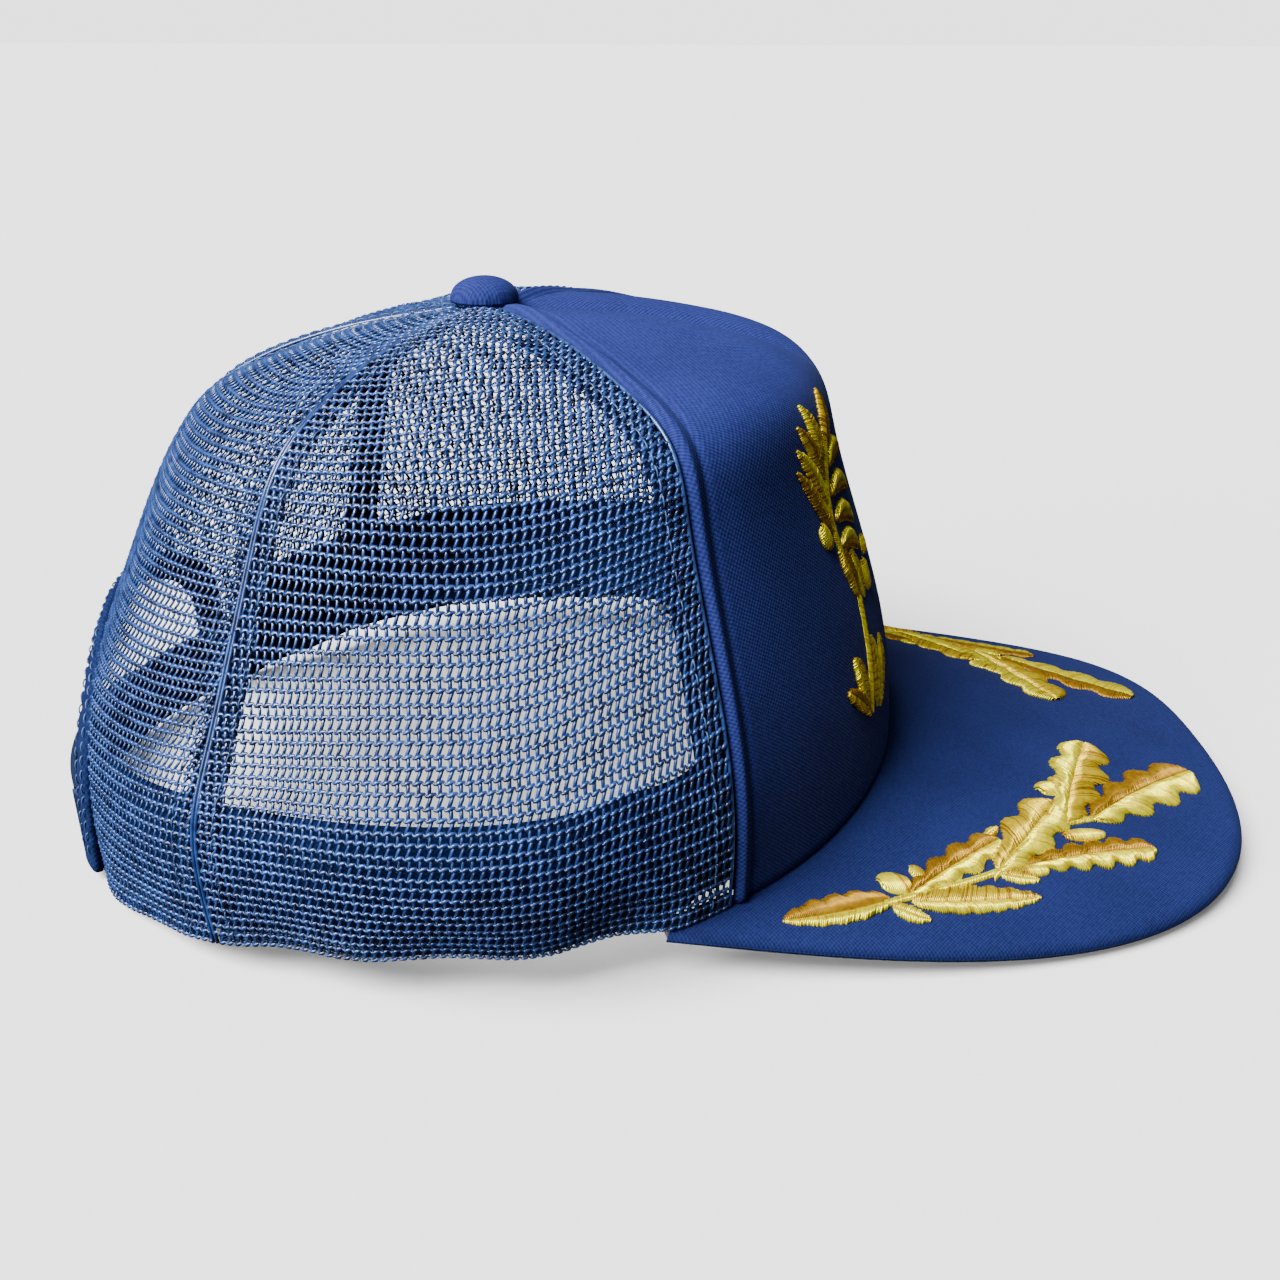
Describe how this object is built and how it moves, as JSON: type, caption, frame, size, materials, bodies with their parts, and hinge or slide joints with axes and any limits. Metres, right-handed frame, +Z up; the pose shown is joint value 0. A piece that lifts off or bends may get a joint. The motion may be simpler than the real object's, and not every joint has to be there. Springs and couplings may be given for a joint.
{
  "type": "trucker mesh cap",
  "caption": "Mesh-back trucker cap: foam-backed front panel, knitted mesh sides and back, stiff embroidered visor, covered button and a two-strap snap closure.",
  "frame": {"origin": "bottom centre of the bounding box, on the surface the cap rests on", "axes": "+Z up towards the button; -Y towards the visor's tip; -X is the wearer's right"},
  "size_m": [0.1898, 0.2781, 0.1236],
  "materials": {
    "front_cloth": "fine knitted face cloth, royal blue",
    "foam_lining": "open foam backing",
    "mesh_knit": "polyester knitted mesh with hexagonal holes",
    "seam_tape": "plain woven tape",
    "binding_cloth": "folded woven binding",
    "sweatband_cloth": "brushed twill",
    "visor_cloth": "fine knitted cloth over foam",
    "visor_board": "stiff white board",
    "visor_padding": "thin padding",
    "button_cloth": "fine knitted cloth stretched over the button",
    "button_metal": "bare stamped metal",
    "strap_plastic": "moulded plastic strap",
    "gold_thread": "satin-stitched gold thread"
  },
  "bodies": {
    "cap": {"front_panel": "front_cloth", "front_foam": "foam_lining", "side_mesh_right": "mesh_knit", "side_mesh_left": "mesh_knit", "rear_mesh_right": "mesh_knit", "rear_mesh_left": "mesh_knit", "front_seam_tape_right": "seam_tape", "front_seam_tape_left": "seam_tape", "side_seam_tape_right": "seam_tape", "side_seam_tape_left": "seam_tape", "rear_seam_tape": "seam_tape", "arch_binding": "binding_cloth", "sweatband": "sweatband_cloth", "visor_top_cover": "visor_cloth", "visor_bottom_cover": "visor_cloth", "visor_board": "visor_board", "visor_foam": "visor_padding", "button_cover": "button_cloth", "button_shell": "button_metal", "button_rivet": "button_metal", "hole_strap_tab": "strap_plastic", "stud_strap_tab": "strap_plastic", "visor_embroidery_right": "gold_thread", "visor_embroidery_left": "gold_thread", "front_embroidery": "gold_thread"},
    "hole_strap": {"hole_strap": "strap_plastic"},
    "stud_strap": {"stud_strap": "strap_plastic", "strap_studs": "strap_plastic"}
  },
  "joints": [
    {"name": "hole_strap_swing", "type": "hinge", "parent": "cap", "child": "hole_strap", "pos_m": [-0.0405, 0.1281, 0.01], "axis": [0, 0, 1], "range_deg": [0, 60], "stiffness_Nm_per_rad": 0.01},
    {"name": "stud_strap_swing", "type": "hinge", "parent": "cap", "child": "stud_strap", "pos_m": [0.0391, 0.1257, 0.01], "axis": [0, 0, 1], "range_deg": [0, 18], "stiffness_Nm_per_rad": 0.01}
  ]
}
